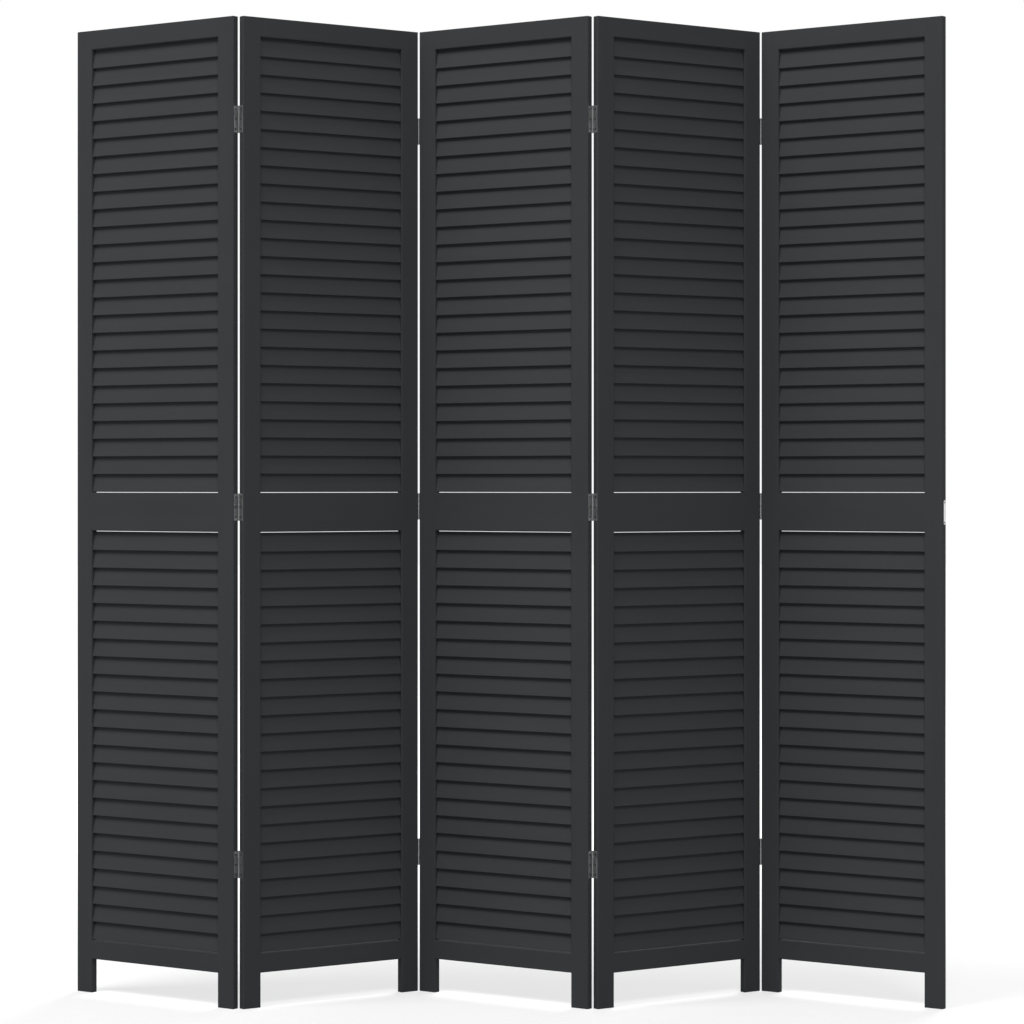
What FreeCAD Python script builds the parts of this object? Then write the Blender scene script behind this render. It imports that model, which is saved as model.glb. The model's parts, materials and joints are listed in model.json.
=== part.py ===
import FreeCAD, Part
import os
import re
import Sketcher

# A free-standing folding screen: five louvred wooden panels hinged edge to edge in a zigzag.
# Each panel has two stiles, three rails and two banks of tilted slats. Three butt hinges join
# each pair of panels, with their knuckles at the back and at the front by turns.
# The frame: +Z is up, the front looks along -Y, and the origin is on the floor under the
# middle of panel 3, which is the middle of the whole screen.

# Driving sizes, in millimetres and degrees
SIZES = (
    ("panel_height", 1660, "floor to the top of a panel"),
    ("panel_width", 350, "one panel, edge to edge"),
    ("rest_angle", 110.25, "angle between neighbouring panels as the screen stands"),
    ("stile_width", 34.4, "width of an upright on the panel's face"),
    ("stile_round", 2, "rounding of an upright's long arrises"),
    ("foot_height", 58, "floor to the underside of the bottom rail"),
    ("bottom_rail_height", 33, "bottom rail on the panel's face"),
    ("middle_rail_height", 66, "middle rail, which lies half way up, on the panel's face"),
    ("top_rail_height", 33, "top rail on the panel's face"),
    ("rail_round", 2, "rounding of a rail's long arrises beside an opening"),
    ("tenon_thickness", 5, "rail tenon, front to back"),
    ("tenon_shoulder", 5, "rail height left above and below its tenon"),
    ("tenon_cover", 5, "wood between a tenon's end and the tip of a hinge screw"),
    ("joint_clearance", 0.1, "play round a tenon and past its end"),
    ("upper_slats", 25, "slats above the middle rail"),
    ("lower_slats", 23, "slats below the middle rail"),
    ("slat_thickness", 3.4, "one slat"),
    ("slat_round", 0.6, "rounding of a slat's long arrises"),
    ("slat_air_gap", 2.34, "air between the faces of neighbouring slats"),
    ("slat_overlap", 2, "height by which a slat covers its neighbour"),
    ("slat_end_gap", 0.9, "slit between the bottom or middle rail and the slat beside it"),
    ("slat_close_gap", 0.1, "slit between the top rail and the slat below it"),
    ("slat_recess", 1.95, "slat edge behind the face of the upright"),
    ("slat_seat", 6, "depth of a slat's slot in the upright"),
    ("slat_clearance", 0.12, "play round a slat in its slot"),
    ("hinge_low_level", 241, "floor to the middle of the lowest hinge"),
    ("hinge_middle_level", 839, "floor to the middle of the second hinge"),
    ("hinge_top_drop", 172, "panel top to the middle of the highest hinge"),
    ("hinge_height", 45, "one hinge leaf, top to bottom"),
    ("leaf_thickness", 0.8, "sheet of a hinge leaf"),
    ("leaf_let_in", 0.61, "depth to which a leaf is let into the upright's edge"),
    ("leaf_half_gap", 0.3, "leaf to the plane through the hinge axis"),
    ("leaf_edge_cover", 1.6, "wood between a leaf and the far face of the panel"),
    ("leaf_clearance", 0.2, "play round a leaf in its recess"),
    ("axis_proud", 0.6, "hinge axis in front of the panel's face"),
    ("knuckle_radius", 1.5, "outside of a hinge barrel"),
    ("knuckle_count", 5, "knuckles in a hinge barrel"),
    ("knuckle_gap", 0.3, "play between neighbouring knuckles"),
    ("knuckle_clearance", 0.4, "air round a turning knuckle"),
    ("pin_radius", 0.75, "hinge pin"),
    ("pin_clearance", 0.05, "running fit of a pin in a knuckle"),
    ("pin_head_radius", 1.2, "button at each end of a pin"),
    ("pin_head_height", 0.6, "thickness of that button"),
    ("screw_length", 13, "screw from its head's face to its tip"),
    ("screw_radius", 0.85, "screw shank"),
    ("screw_head_radius", 1.7, "countersunk head at its face"),
    ("screw_edge", 5.8, "screw to the nearest end of a hinge leaf"),
    ("screw_clearance", 0.05, "play round a screw's shank and head"),
    ("driver_width", 0.5, "arm of the cross in a screw head"),
    ("driver_depth", 0.4, "depth of that cross"),
    ("plate_level", 830, "floor to the middle of the free edge plate"),
    ("plate_height", 41, "free edge plate, top to bottom, with its round ends"),
    ("plate_width", 6.6, "free edge plate, front to back"),
    ("plate_set_back", 1.5, "middle of the plate behind the middle of the panel"),
    ("plate_thickness", 1, "sheet of the free edge plate"),
    ("plate_screw_edge", 3.8, "screw to the nearest end of the plate"),
    ("plate_clearance", 0.2, "play round the plate in its recess"),
    ("overrun", 2, "how far a cutting shape runs past the face that it opens"),
)

# Values worked out from the driving sizes for each bank of slats
BANKS = ("upper", "lower")
BANK_LAYOUT = (
    ("bank_pitch", "(bank_room - slat_overlap) / bank_slats"),
    ("bank_tilt_sine", "(slat_thickness + slat_air_gap) / bank_pitch"),
    ("bank_tilt_cosine", "sqrt(1 - bank_tilt_sine * bank_tilt_sine)"),
    ("bank_rise", "bank_pitch + slat_overlap - 2 * slat_round"),
    ("bank_flat", "(bank_rise - slat_core * bank_tilt_sine) / bank_tilt_cosine"),
    ("bank_slat_width", "bank_flat + 2 * slat_round"),
    ("bank_reach", "bank_flat * bank_tilt_sine + slat_core * bank_tilt_cosine + 2 * slat_round"),
    ("bank_set_back", "slat_recess - slat_round * (bank_tilt_cosine + bank_tilt_sine - 1)"),
    ("bank_lift", "(slat_thickness - slat_round) * bank_tilt_sine - slat_round * (bank_tilt_cosine - 1)"),
    ("bank_slot_set_back", "bank_set_back - slat_clearance * (bank_tilt_cosine + bank_tilt_sine)"),
    ("bank_slot_lift", "bank_lift - slat_clearance * (bank_tilt_cosine - bank_tilt_sine)"),
)

# Values worked out from the driving sizes for the whole screen
LAYOUT = (
    ("bottom_rail_level", "foot_height"),
    ("middle_rail_level", "(panel_height - middle_rail_height) / 2"),
    ("top_rail_level", "panel_height - top_rail_height"),
    ("lower_base", "bottom_rail_level + bottom_rail_height + slat_end_gap"),
    ("lower_room", "middle_rail_level - slat_end_gap - lower_base"),
    ("upper_base", "middle_rail_level + middle_rail_height + slat_end_gap"),
    ("upper_room", "top_rail_level - slat_close_gap - upper_base"),
    ("slat_core", "slat_thickness - 2 * slat_round"),
    *[[text.replace("bank", bank) for text in row] for bank in BANKS for row in BANK_LAYOUT],
    ("thickness", "max(upper_reach; lower_reach) + 2 * slat_recess"),
    ("half_thickness", "thickness / 2"),
    ("half_width", "panel_width / 2"),
    ("inner_face", "half_width - stile_width"),
    ("rail_span", "2 * inner_face"),
    ("slat_length", "2 * (inner_face + slat_seat - slat_clearance)"),
    ("tenon_length", "stile_width - screw_length - tenon_cover"),
    ("axis_out", "leaf_half_gap + leaf_thickness - leaf_let_in"),
    ("axis_across", "half_width + axis_out"),
    ("axis_deep", "half_thickness + axis_proud"),
    ("fold", "90 - rest_angle / 2"),
    ("panel_step", "2 * (axis_across * cos(fold) + axis_deep * sin(fold))"),
    ("hinge_top_level", "panel_height - hinge_top_drop"),
    ("leaf_seat", "leaf_half_gap + leaf_thickness"),
    ("leaf_reach", "thickness + axis_proud - leaf_edge_cover"),
    ("leaf_root", "knuckle_radius + knuckle_clearance"),
    ("leaf_screw_line", "(leaf_reach + leaf_root) / 2"),
    ("knuckle_length", "(hinge_height - (knuckle_count - 1) * knuckle_gap) / knuckle_count"),
    ("screw_spacing", "hinge_height / 2 - screw_edge"),
    ("screw_head_depth", "screw_head_radius - screw_radius"),
    ("plate_screw_spacing", "plate_height / 2 - plate_screw_edge"),
    ("plate_straight", "plate_height - plate_width"),
)

PANELS = range(1, 6)
MIDDLE_PANEL = 3
RAILS = ("bottom_rail", "middle_rail", "top_rail")
HINGE_LEVELS = ("hinge_low_level", "hinge_middle_level", "hinge_top_level")
FIRST_KNUCKLE = {"right": 0, "left": 1}
X_AXIS = FreeCAD.Vector(1, 0, 0)
Y_AXIS = FreeCAD.Vector(0, 1, 0)
Z_AXIS = FreeCAD.Vector(0, 0, 1)
HALF_TURN = 180
QUARTER_TURN = 90

doc = FreeCAD.newDocument("folding_screen")


# The two sheets

def fill_sheet(name, rows):
    sheet = doc.addObject("Spreadsheet::Sheet", name)
    for number, (alias, content, note) in enumerate(rows, 1):
        sheet.set(f"A{number}", alias)
        sheet.set(f"B{number}", content)
        sheet.set(f"C{number}", note)
        sheet.setAlias(f"B{number}", alias)
    doc.recompute()
    return sheet


SHEETS = {alias: "Sizes." for alias, value, note in SIZES}
SHEETS.update({alias: "Layout." for alias, rule in LAYOUT})


def qualified(formula):
    """Write each alias in a formula with the name of the sheet that holds it."""
    return re.sub("[a-z_]+", lambda word: SHEETS.get(word[0], "") + word[0], formula)


sizes = fill_sheet("Sizes", [(alias, str(value), note) for alias, value, note in SIZES])
fill_sheet("Layout", [(alias, "=" + qualified(rule), rule) for alias, rule in LAYOUT])


# Small helpers

def bind(thing, **rules):
    """Tie properties to formulas; a double underscore in a keyword stands for a dot."""
    for prop, rule in rules.items():
        thing.setExpression(prop.replace("__", "."), qualified(rule))
    return thing


def place(thing, x="0", y="0", z="0"):
    return bind(thing, Placement__Base__x=x, Placement__Base__y=y, Placement__Base__z=z)


def origin_feature(body, role):
    return [item for item in body.Origin.OriginFeatures if item.Role == role][0]


def rectangle(body, name, plane, wide, tall, across, up, out="0", turn="0"):
    """Sketch a rectangle on a plane of the body, with its first corner at (across, up)."""
    sketch = body.newObject("Sketcher::SketchObject", name)
    sketch.AttachmentSupport = [(origin_feature(body, plane), "")]
    sketch.MapMode = "FlatFace"
    corners = [FreeCAD.Vector(*corner) for corner in ((0, 0), (1, 0), (1, 1), (0, 1))]
    for side in range(4):
        sketch.addGeometry(Part.LineSegment(corners[side], corners[(side + 1) % 4]), False)
    for side in range(4):
        sketch.addConstraint(Sketcher.Constraint("Coincident", side, 2, (side + 1) % 4, 1))
    for side, direction in enumerate(("Horizontal", "Vertical", "Horizontal", "Vertical")):
        sketch.addConstraint(Sketcher.Constraint(direction, side))
    sketch.addConstraint(Sketcher.Constraint("Coincident", 0, 1, -1, 1))
    sketch.addConstraint(Sketcher.Constraint("DistanceX", 0, 1, 0, 2, 1))
    sketch.renameConstraint(sketch.ConstraintCount - 1, "wide")
    sketch.addConstraint(Sketcher.Constraint("DistanceY", 1, 1, 1, 2, 1))
    sketch.renameConstraint(sketch.ConstraintCount - 1, "tall")
    bind(sketch, Constraints__wide=wide, Constraints__tall=tall)
    bind(sketch, AttachmentOffset__Base__x=across, AttachmentOffset__Base__y=up,
         AttachmentOffset__Base__z=out, AttachmentOffset__Rotation__Angle=turn)
    return sketch


def pad(body, sketch, length):
    feature = body.newObject("PartDesign::Pad", sketch.Name + "_pad")
    feature.Profile = sketch
    bind(feature, Length=length)
    doc.recompute()
    return feature


def pocket(body, sketch, depth):
    """Cut a sketch into the body, against the sketch's own normal."""
    before = body.Tip.Shape.Volume
    feature = body.newObject("PartDesign::Pocket", sketch.Name + "_pocket")
    feature.Profile = sketch
    bind(feature, Length=depth)
    doc.recompute()
    if feature.Shape.Volume >= before:
        raise RuntimeError(f"{feature.Name} cuts nothing")
    return feature


def round_edges(body, base, name, radius, wanted):
    """Round those edges of a feature for which wanted(edge, shape) holds."""
    feature = body.newObject("PartDesign::Fillet", name)
    numbered = enumerate(base.Shape.Edges, 1)
    feature.Base = (base, [f"Edge{number}" for number, edge in numbered if wanted(edge, base.Shape)])
    bind(feature, Radius=radius)
    doc.recompute()
    return feature


def repeat_upwards(body, name, originals, bank):
    """Repeat features up a bank of slats at its pitch; with none named, repeat the whole body."""
    feature = body.newObject("PartDesign::LinearPattern", name)
    feature.TransformMode = "Features" if originals else "Whole shape"
    feature.Originals = originals
    feature.Direction = (origin_feature(body, "Z_Axis"), [""])
    feature.Mode = "Spacing"
    bind(feature, Offset=bank + "_pitch", Occurrences=bank + "_slats")
    body.Tip = feature
    doc.recompute()
    return feature


def box(name, x, y, z, dx, dy, dz):
    shape = doc.addObject("Part::Box", name)
    bind(shape, Length=dx, Width=dy, Height=dz)
    return place(shape, x, y, z)


def cylinder(name, radius, height, x="0", y="0", z="0"):
    shape = doc.addObject("Part::Cylinder", name)
    bind(shape, Radius=radius, Height=height)
    return place(shape, x, y, z)


def lie_back(shape):
    """Turn an upright round shape so that it points along -X, into the wood."""
    shape.Placement = FreeCAD.Placement(shape.Placement.Base, FreeCAD.Rotation(Y_AXIS, -QUARTER_TURN))
    return shape


def fuse(name, shapes):
    whole = doc.addObject("Part::MultiFuse", name)
    whole.Shapes = shapes
    whole.Refine = True
    return whole


def group(name, members):
    whole = doc.addObject("Part::Compound", name)
    whole.Links = members
    return whole


def cut(name, base, tool):
    """Cut a tool out of a base, and make sure that it took something away."""
    result = doc.addObject("Part::Cut", name)
    result.Base = base
    result.Tool = tool
    result.Refine = False
    doc.recompute()
    if result.Shape.Volume >= base.Shape.Volume:
        raise RuntimeError(f"{name} cuts nothing")
    return result


def copy_at(name, source, x="0", y="0", z="0", rotation=FreeCAD.Rotation()):
    twin = group(name, [source])
    twin.Placement = FreeCAD.Placement(FreeCAD.Vector(), rotation)
    return place(twin, x, y, z)


# The wooden frame of one panel, centred on its own middle

def rail_rules(rail):
    """Level and height of a rail's tenon."""
    return f"{rail}_level + tenon_shoulder", f"{rail}_height - 2 * tenon_shoulder"


def is_rail_arris(edge, rail):
    """A long edge of a rail, other than those on top of the panel."""
    runs_along = edge.BoundBox.XLength > rail.BoundBox.XLength / 2
    return runs_along and edge.CenterOfMass.z < sizes.panel_height - sizes.rail_round


def make_rail(rail):
    body = doc.addObject("PartDesign::Body", rail)
    face = rectangle(body, rail + "_section", "YZ_Plane", "thickness", f"{rail}_height",
                     "-half_thickness", f"{rail}_level", "-inner_face")
    board = pad(body, face, "rail_span")
    round_edges(body, board, rail + "_rounding", "rail_round", is_rail_arris)
    level, height = rail_rules(rail)
    tenon = rectangle(body, rail + "_tenon", "YZ_Plane", "tenon_thickness", height,
                      "-tenon_thickness / 2", level, "-inner_face - tenon_length")
    pad(body, tenon, "rail_span + 2 * tenon_length")
    return body


def is_upright_arris(edge, stile):
    return edge.BoundBox.ZLength > stile.BoundBox.ZLength / 2


def is_slat_arris(edge, slat):
    return edge.BoundBox.XLength > slat.BoundBox.XLength / 2


def make_left_blank():
    """The left upright with its mortises and slat slots, before any hinge is let in."""
    body = doc.addObject("PartDesign::Body", "left_blank")
    section = rectangle(body, "stile_section", "XY_Plane", "stile_width", "thickness",
                        "-half_width", "-half_thickness")
    upright = pad(body, section, "panel_height")
    round_edges(body, upright, "stile_rounding", "stile_round", is_upright_arris)
    for rail in RAILS:
        # The arris stays square where the rail butts against it
        shoulder = rectangle(body, rail + "_shoulder", "XY_Plane", "stile_round", "thickness",
                             "-inner_face - stile_round", "-half_thickness", f"{rail}_level")
        pad(body, shoulder, f"{rail}_height")
        level, height = rail_rules(rail)
        mortise = rectangle(body, rail + "_mortise", "YZ_Plane", "tenon_thickness + 2 * joint_clearance",
                            f"{height} + 2 * joint_clearance", "-tenon_thickness / 2 - joint_clearance",
                            f"{level} - joint_clearance", "-inner_face")
        pocket(body, mortise, "tenon_length + joint_clearance")
    for bank in BANKS:
        slot = rectangle(body, bank + "_slot", "YZ_Plane", "slat_thickness + 2 * slat_clearance",
                         f"{bank}_slat_width + 2 * slat_clearance", f"{bank}_slot_set_back - half_thickness",
                         f"{bank}_base + {bank}_slot_lift", "-inner_face", f"-asin({bank}_tilt_sine)")
        first = pocket(body, slot, "slat_seat")
        repeat_upwards(body, bank + "_slots", [first], bank)
    return body


def make_slats(bank):
    """A bank of slats that lean back, each with its lower edge at the front."""
    body = doc.addObject("PartDesign::Body", bank + "_slats")
    body.AllowCompound = True
    section = rectangle(body, bank + "_slat_section", "YZ_Plane", "slat_thickness", f"{bank}_slat_width",
                        f"{bank}_set_back - half_thickness", f"{bank}_base + {bank}_lift",
                        "-slat_length / 2", f"-asin({bank}_tilt_sine)")
    plain = pad(body, section, "slat_length")
    round_edges(body, plain, bank + "_slat_rounding", "slat_round", is_slat_arris)
    repeat_upwards(body, bank + "_slat_bank", [], bank)
    return body


# One hinge, about its own axis: the upright lies towards -X and the far face of the panel towards -Y

def make_screw():
    """A countersunk screw that points along -X, with its face at the origin and a cross in it."""
    head = lie_back(doc.addObject("Part::Cone", "screw_head"))
    bind(head, Radius1="screw_head_radius", Radius2="screw_radius", Height="screw_head_depth")
    shank = lie_back(cylinder("screw_shank", "screw_radius", "screw_length"))
    arms = [box("cross_upright", "-driver_depth", "-driver_width / 2", "-screw_radius",
                "driver_depth + overrun", "driver_width", "2 * screw_radius"),
            box("cross_level", "-driver_depth", "-screw_radius", "-driver_width / 2",
                "driver_depth + overrun", "2 * screw_radius", "driver_width")]
    return cut("screw", fuse("plain_screw", [head, shank]), fuse("screw_cross", arms))


def make_screw_hole():
    """The countersunk hole that the screw fits, opened towards +X."""
    head = lie_back(doc.addObject("Part::Cone", "hole_head"))
    bind(head, Radius1="screw_head_radius + screw_clearance", Radius2="screw_radius + screw_clearance",
         Height="screw_head_depth")
    shank = lie_back(cylinder("hole_shank", "screw_radius + screw_clearance",
                              "screw_length + screw_clearance"))
    mouth = lie_back(cylinder("hole_mouth", "screw_head_radius + screw_clearance", "overrun", x="overrun"))
    return fuse("screw_hole", [head, shank, mouth])


def at_leaf_screws(name, source):
    """Copies of a screw, or of its hole, at the three places in a hinge leaf."""
    copies = []
    for number, level in enumerate(("-screw_spacing", "0", "screw_spacing")):
        copies.append(copy_at(f"{name}_{number}", source, "-leaf_half_gap", "-leaf_screw_line", level))
    return copies


def make_leaf(end, screw_hole):
    """A leaf with every second knuckle; its sheet faces the axis plane."""
    name = end + "_leaf"
    sheet = box(name + "_sheet", "-leaf_seat", "-leaf_reach", "-hinge_height / 2",
                "leaf_thickness", "leaf_reach - leaf_root", "hinge_height")
    solids = [sheet]
    for number in range(FIRST_KNUCKLE[end], int(sizes.knuckle_count), 2):
        base = f"{number} * (knuckle_length + knuckle_gap) - hinge_height / 2"
        solids.append(cylinder(f"{name}_knuckle_{number}", "knuckle_radius", "knuckle_length", z=base))
        solids.append(box(f"{name}_tab_{number}", "-leaf_seat", "-leaf_root", base,
                          "leaf_thickness", "leaf_root", "knuckle_length"))
    bore = cylinder(name + "_bore", "pin_radius + pin_clearance", "hinge_height + 2 * overrun",
                    z="-hinge_height / 2 - overrun")
    holes = [bore] + at_leaf_screws(name + "_hole", screw_hole)
    return cut(name, fuse(name + "_blank", solids), group(name + "_holes", holes))


def make_pin():
    stem = cylinder("pin_stem", "pin_radius", "hinge_height", z="-hinge_height / 2")
    top = cylinder("pin_top", "pin_head_radius", "pin_head_height", z="hinge_height / 2")
    foot = cylinder("pin_foot", "pin_head_radius", "pin_head_height",
                    z="-hinge_height / 2 - pin_head_height")
    return fuse("pin", [stem, top, foot])


def make_hinge_recess(screw_hole):
    """What a hinge takes out of an upright: the leaf's recess, the knuckles' room and the screw holes."""
    tall = "hinge_height + 2 * leaf_clearance"
    recess = box("leaf_recess", "-leaf_seat", "-leaf_reach - leaf_clearance",
                 "-hinge_height / 2 - leaf_clearance", "leaf_seat", "leaf_reach + leaf_clearance", tall)
    room = cylinder("knuckle_room", "leaf_root", f"{tall} + 2 * pin_head_height",
                    z="-hinge_height / 2 - leaf_clearance - pin_head_height")
    return fuse("hinge_recess", [recess, room] + at_leaf_screws("recess_hole", screw_hole))


# The way that a hinge part turns to suit an end of the panel and the side that its knuckles are on
HINGE_TURNS = {
    ("right", "back"): FreeCAD.Rotation(),
    ("right", "front"): FreeCAD.Rotation(X_AXIS, HALF_TURN),
    ("left", "back"): FreeCAD.Rotation(Y_AXIS, HALF_TURN),
    ("left", "front"): FreeCAD.Rotation(Z_AXIS, HALF_TURN),
}


def at_hinges(name, source, end, side):
    """Put a hinge part at the three hinge levels on one end of a panel."""
    across = "axis_across" if end == "right" else "-axis_across"
    deep = "axis_deep" if side == "back" else "-axis_deep"
    copies = []
    for number, level in enumerate(HINGE_LEVELS):
        copies.append(copy_at(f"{name}_{number}", source, across, deep, level, HINGE_TURNS[end, side]))
    return group(name, copies)


# The plate on the free edge of the last panel

def round_ended_sheet(name, play, rise):
    """The plate's outline, widened by some play, from the bottom of its recess to a rise above the edge."""
    deep = f"plate_thickness + {rise}"
    radius = f"plate_width / 2 + {play}"
    pieces = [box(name + "_middle", "half_width - plate_thickness", f"plate_set_back - ({radius})",
                  "plate_level - plate_straight / 2", deep, f"2 * ({radius})", "plate_straight")]
    for end, offset in (("lower", "- plate_straight / 2"), ("upper", "+ plate_straight / 2")):
        pieces.append(lie_back(cylinder(f"{name}_{end}_end", radius, deep, f"half_width + {rise}",
                                        "plate_set_back", f"plate_level {offset}")))
    return fuse(name, pieces)


def make_plate_parts(screw, screw_hole):
    recess = round_ended_sheet("plate_recess", "plate_clearance", "overrun")
    sheet = round_ended_sheet("plate_sheet", "0", "0")
    holes = []
    screws = []
    for number, offset in enumerate(("- plate_screw_spacing", "+ plate_screw_spacing")):
        level = f"plate_level {offset}"
        holes.append(copy_at(f"plate_hole_{number}", screw_hole, "half_width", "plate_set_back", level))
        screws.append(copy_at(f"plate_screw_{number}", screw, "half_width", "plate_set_back", level))
    plate = cut("plate", sheet, group("plate_holes", holes))
    return plate, group("plate_screws", screws), fuse("plate_cutter", [recess] + holes)


# Masters, each made once about the middle of a panel

rails = {rail: make_rail(rail) for rail in RAILS}
slats = {bank: make_slats(bank) for bank in BANKS}
blanks = {"left": make_left_blank()}
blanks["right"] = doc.addObject("Part::Mirroring", "right_blank")
blanks["right"].Source = blanks["left"]
blanks["right"].Normal = X_AXIS

screw = make_screw()
screw_hole = make_screw_hole()
leaves = {end: make_leaf(end, screw_hole) for end in ("left", "right")}
pin = make_pin()
leaf_screws = group("leaf_screws", at_leaf_screws("leaf_screw", screw))
hinge_recess = make_hinge_recess(screw_hole)
plate, plate_screws, plate_cutter = make_plate_parts(screw, screw_hole)

uprights = {("left", "free"): blanks["left"]}
uprights["right", "free"] = cut("right_free", blanks["right"], plate_cutter)
leaf_sets = {}
screw_sets = {}
pin_sets = {}
for end, side in HINGE_TURNS:
    style = f"{end}_{side}"
    recesses = at_hinges(style + "_recesses", hinge_recess, end, side)
    uprights[end, side] = cut(style + "_upright", blanks[end], recesses)
    leaf_sets[end, side] = at_hinges(style + "_leaves", leaves[end], end, side)
    screw_sets[end, side] = at_hinges(style + "_screws", leaf_screws, end, side)
for side in ("back", "front"):
    pin_sets[side] = at_hinges(side + "_pins", pin, "right", side)


# The five panels, standing in a zigzag about the middle one

nodes = []


def add_node(label, master, panel):
    """Stand a copy of a master in its panel's place."""
    node = group("node_" + label, [master])
    node.Label = label
    node.Placement.Rotation = FreeCAD.Rotation(Z_AXIS, 0)
    lean = "fold" if panel % 2 == 0 else "-fold"
    place(node, x=f"{panel - MIDDLE_PANEL} * panel_step")
    bind(node, Placement__Rotation__Angle=lean)
    nodes.append(node)


def hinge_side(line):
    """Hinge line 1 joins panels 1 and 2, with its knuckles at the back; the next one's are in front."""
    return "back" if line % 2 else "front"


first, last = PANELS[0], PANELS[-1]
for panel in PANELS:
    name = f"panel_{panel}"
    left_side = "free" if panel == first else hinge_side(panel - 1)
    right_side = "free" if panel == last else hinge_side(panel)
    add_node(name + "_left_stile", uprights["left", left_side], panel)
    add_node(name + "_right_stile", uprights["right", right_side], panel)
    for rail, master in rails.items():
        add_node(f"{name}_{rail}", master, panel)
    for bank, master in slats.items():
        add_node(f"{name}_{bank}_slats", master, panel)
    if panel != last:
        line = f"hinge_{panel}_{panel + 1}"
        add_node(line + "_left_leaves", leaf_sets["right", right_side], panel)
        add_node(line + "_left_screws", screw_sets["right", right_side], panel)
        add_node(line + "_pins", pin_sets[right_side], panel)
        add_node(line + "_right_leaves", leaf_sets["left", right_side], panel + 1)
        add_node(line + "_right_screws", screw_sets["left", right_side], panel + 1)
add_node("edge_plate", plate, last)
add_node("edge_plate_screws", plate_screws, last)

doc.recompute()

# Nothing is written unless every piece is sound
for item in doc.Objects:
    if "Invalid" in item.State or "Error" in item.State:
        raise RuntimeError(f"{item.Name} failed: {item.State}")
for node in nodes:
    if node.Shape.isNull() or not node.Shape.isValid() or not node.Shape.Solids:
        raise RuntimeError(f"{node.Label} has no sound shape")

os.makedirs("parts", exist_ok=True)
for node in nodes:
    node.Shape.exportStep(f"parts/{node.Label}.step")
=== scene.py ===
import json
import math

import bmesh
import bpy
from mathutils import Matrix, Vector


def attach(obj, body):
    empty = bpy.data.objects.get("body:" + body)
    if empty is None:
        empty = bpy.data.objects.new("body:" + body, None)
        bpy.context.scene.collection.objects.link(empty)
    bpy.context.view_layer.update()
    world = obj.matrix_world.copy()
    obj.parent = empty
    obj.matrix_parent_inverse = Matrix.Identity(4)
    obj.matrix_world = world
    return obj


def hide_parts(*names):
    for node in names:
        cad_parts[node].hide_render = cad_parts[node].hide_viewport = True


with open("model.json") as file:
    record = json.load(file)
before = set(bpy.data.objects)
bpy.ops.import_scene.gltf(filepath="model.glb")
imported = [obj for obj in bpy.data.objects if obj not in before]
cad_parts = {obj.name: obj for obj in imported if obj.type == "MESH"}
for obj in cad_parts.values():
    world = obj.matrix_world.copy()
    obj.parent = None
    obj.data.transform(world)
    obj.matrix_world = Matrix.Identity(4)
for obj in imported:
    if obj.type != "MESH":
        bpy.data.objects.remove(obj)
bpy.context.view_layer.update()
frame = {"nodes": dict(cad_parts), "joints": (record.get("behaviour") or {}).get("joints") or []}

bl_info = {
    "name": "Louvred folding screen",
    "version": (1, 0, 0),
    "blender": (4, 5, 0),
    "location": "View3D > Sidebar > Folding screen",
    "description": "Dresses a five panel folding screen in painted wood and plated steel",
    "category": "Object",
}

# What the frame says: where the panels stand and how large their boards are
JOINTS = {joint["name"]: joint for joint in frame["joints"]}
PANELS = range(1, 6)
MIDDLE_PANEL = 3
RAILS = ("bottom_rail", "middle_rail", "top_rail")
BANKS = ("upper", "lower")
REST_ANGLE = -JOINTS["fold_2_3"]["range_deg"][0]
FOLD = math.radians(90 - REST_ANGLE / 2)
PANEL_STEP = JOINTS["fold_3_4"]["pos_m"][0] - JOINTS["fold_2_3"]["pos_m"][0]


def panel_place(panel):
    """Where a panel stands: its own frame has X along the panel, Y towards its back and Z up."""
    lean = FOLD if panel % 2 == 0 else -FOLD
    along = (panel - MIDDLE_PANEL) * PANEL_STEP
    return Matrix.Translation((along, 0, 0)) @ Matrix.Rotation(lean, 4, "Z")


def local_box(node, panel=MIDDLE_PANEL):
    """Lowest and highest corner of a CAD node in its panel's own frame."""
    back = panel_place(panel).inverted()
    points = [back @ vertex.co for vertex in frame["nodes"][node].data.vertices]
    corners = [[pick(point[axis] for point in points) for axis in range(3)] for pick in (min, max)]
    return Vector(corners[0]), Vector(corners[1])


STILE_LOW, STILE_HIGH = local_box("panel_3_left_stile")
HALF_THICKNESS = STILE_HIGH.y
INNER_FACE = -STILE_HIGH.x
HINGE_AXIS = panel_place(MIDDLE_PANEL).inverted() @ Vector(JOINTS["fold_3_4"]["pos_m"])
PLATE_LOW, PLATE_HIGH = local_box("edge_plate", PANELS[-1])

# The way that a hinge part turns to suit an end of the panel and the side that its knuckles are on
HINGE_TURNS = {
    ("right", "back"): Matrix.Identity(4),
    ("right", "front"): Matrix.Rotation(math.pi, 4, "X"),
    ("left", "back"): Matrix.Rotation(math.pi, 4, "Y"),
    ("left", "front"): Matrix.Rotation(math.pi, 4, "Z"),
}


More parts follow.
